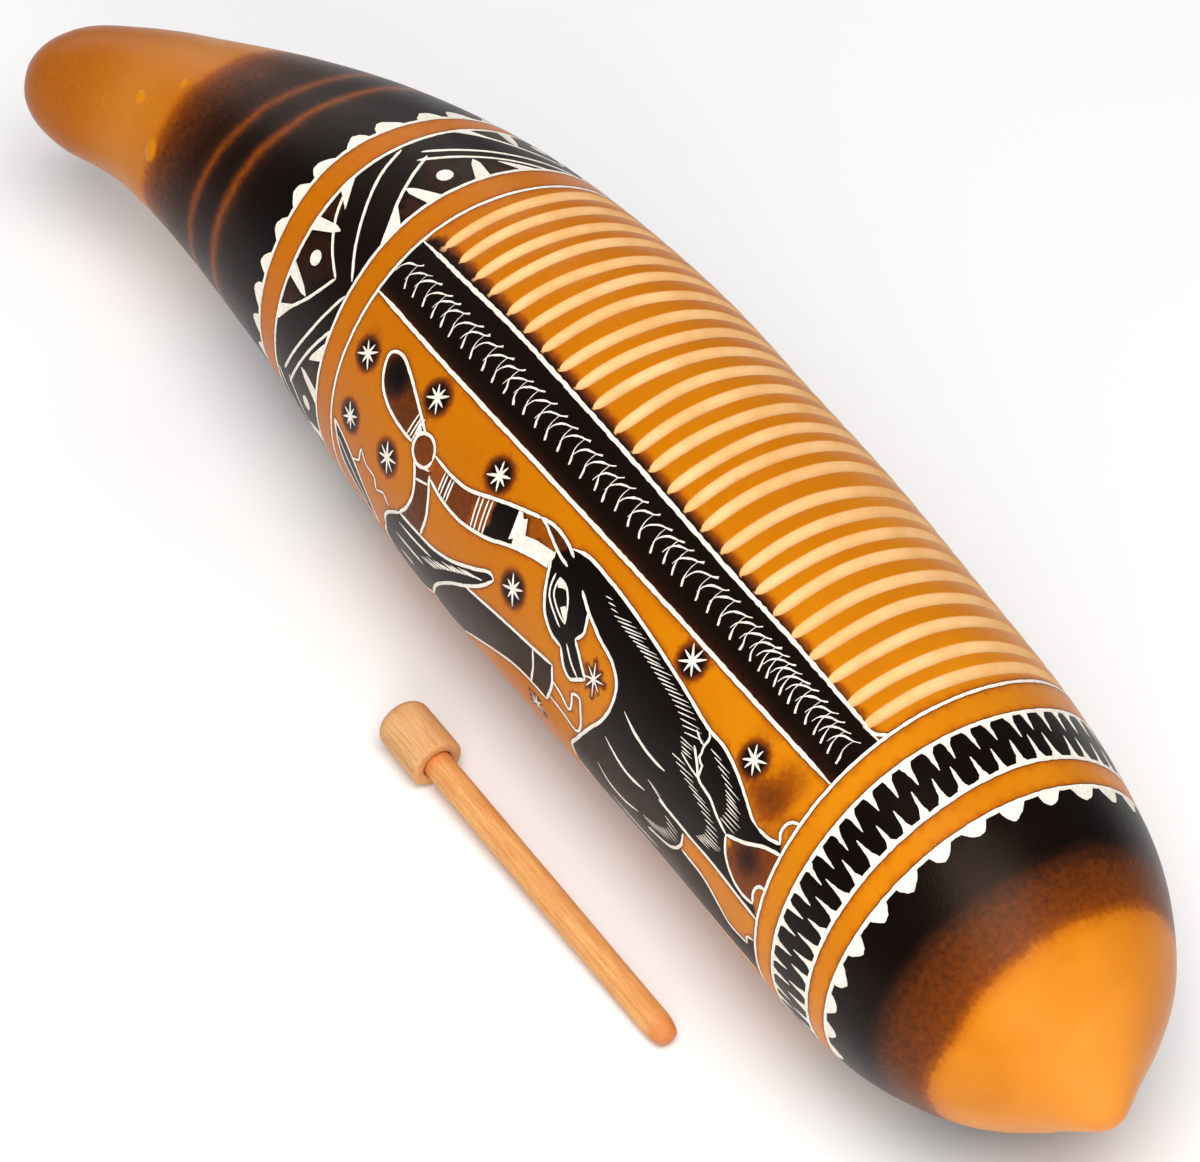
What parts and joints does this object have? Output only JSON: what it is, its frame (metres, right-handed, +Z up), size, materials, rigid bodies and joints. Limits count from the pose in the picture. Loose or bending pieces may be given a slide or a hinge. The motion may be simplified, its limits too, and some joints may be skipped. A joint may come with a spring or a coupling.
{
  "type": "gourd scraper",
  "caption": "Fire-engraved hollow gourd guiro with a rasp of cross grooves, grip holes in its back and a small wooden scraping stick lying beside it.",
  "frame": {"origin": "on the ground, inside the rubbed flat spot that the gourd rests on, under its axis", "axes": "+Z up; +X along the gourd from the neck to the blossom end; the stick lies on the -Y side"},
  "size_m": [0.402, 0.115, 0.0947],
  "materials": {
    "gourd_skin": "burnished dried gourd, partly burnt black",
    "pale_wood": "sanded bare wood"
  },
  "bodies": {
    "gourd": {"gourd_shell": "gourd_skin"},
    "scraper": {"scraper_head": "pale_wood", "scraper_shaft": "pale_wood"}
  },
  "joints": [
    {"name": "scraper_lift", "type": "slide", "parent": "gourd", "child": "scraper", "axis": [0, 0, 1], "range_m": [0, 0.12]}
  ]
}
